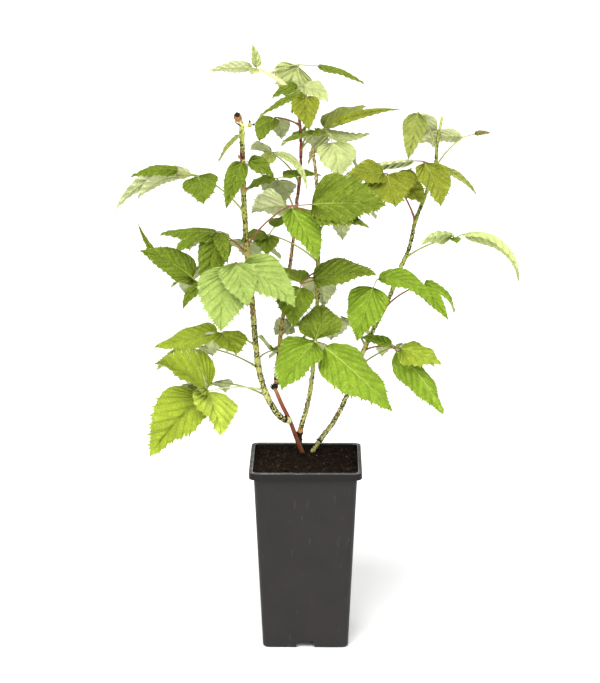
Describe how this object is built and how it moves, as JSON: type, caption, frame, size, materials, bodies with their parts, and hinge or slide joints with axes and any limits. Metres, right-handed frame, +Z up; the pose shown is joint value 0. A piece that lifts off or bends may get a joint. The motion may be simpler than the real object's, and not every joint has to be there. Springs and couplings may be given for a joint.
{
  "type": "raspberry cane in a pot",
  "caption": "Young raspberry plant with leafy green canes growing from an old stem in a tall square nursery pot filled with compost.",
  "frame": {"origin": "middle of the pot's flat underside", "axes": "+Z up along the pot, -Y towards the side that the lowest big leaf faces, the pot's sides along X and Y"},
  "size_m": [0.4258, 0.2401, 0.6432],
  "materials": {
    "pot": "dark grey moulded plastic with a soft sheen and a paler worn rim",
    "compost": "dark brown crumbly potting compost with light specks",
    "old_wood": "smooth red-brown bark of last year's stem",
    "cane_bark": "pale green bark speckled with dark prickles, redder towards the tips",
    "leaf": "mid green pleated leaf, pale and felted underneath"
  },
  "bodies": {
    "root": {"pot": "pot", "soil": "compost", "old_stem": "old_wood", "cane_left": "cane_bark", "cane_tall": "cane_bark", "cane_middle": "cane_bark", "cane_right": "cane_bark", "leaf_left_01": "leaf", "leaf_left_02": "leaf", "leaf_left_03": "leaf", "leaf_left_04": "leaf", "leaf_left_05": "leaf", "leaf_left_06": "leaf", "leaf_left_07": "leaf", "leaf_left_08": "leaf", "leaf_left_09": "leaf", "leaf_left_10": "leaf", "leaf_left_11": "leaf", "leaf_left_12": "leaf", "leaf_left_13": "leaf", "leaf_left_14": "leaf", "leaf_left_15": "leaf", "leaf_tall_01": "leaf", "leaf_tall_02": "leaf", "leaf_tall_03": "leaf", "leaf_tall_04": "leaf", "leaf_tall_05": "leaf", "leaf_tall_06": "leaf", "leaf_tall_07": "leaf", "leaf_tall_08": "leaf", "leaf_tall_09": "leaf", "leaf_tall_10": "leaf", "leaf_middle_01": "leaf", "leaf_middle_02": "leaf", "leaf_middle_03": "leaf", "leaf_middle_04": "leaf", "leaf_middle_05": "leaf", "leaf_middle_06": "leaf", "leaf_middle_07": "leaf", "leaf_right_01": "leaf", "leaf_right_02": "leaf", "leaf_right_03": "leaf", "leaf_right_04": "leaf", "leaf_right_05": "leaf", "leaf_right_06": "leaf", "leaf_right_07": "leaf", "leaf_right_08": "leaf", "leaf_right_09": "leaf", "leaf_right_10": "leaf", "leaf_right_11": "leaf"}
  },
  "joints": []
}
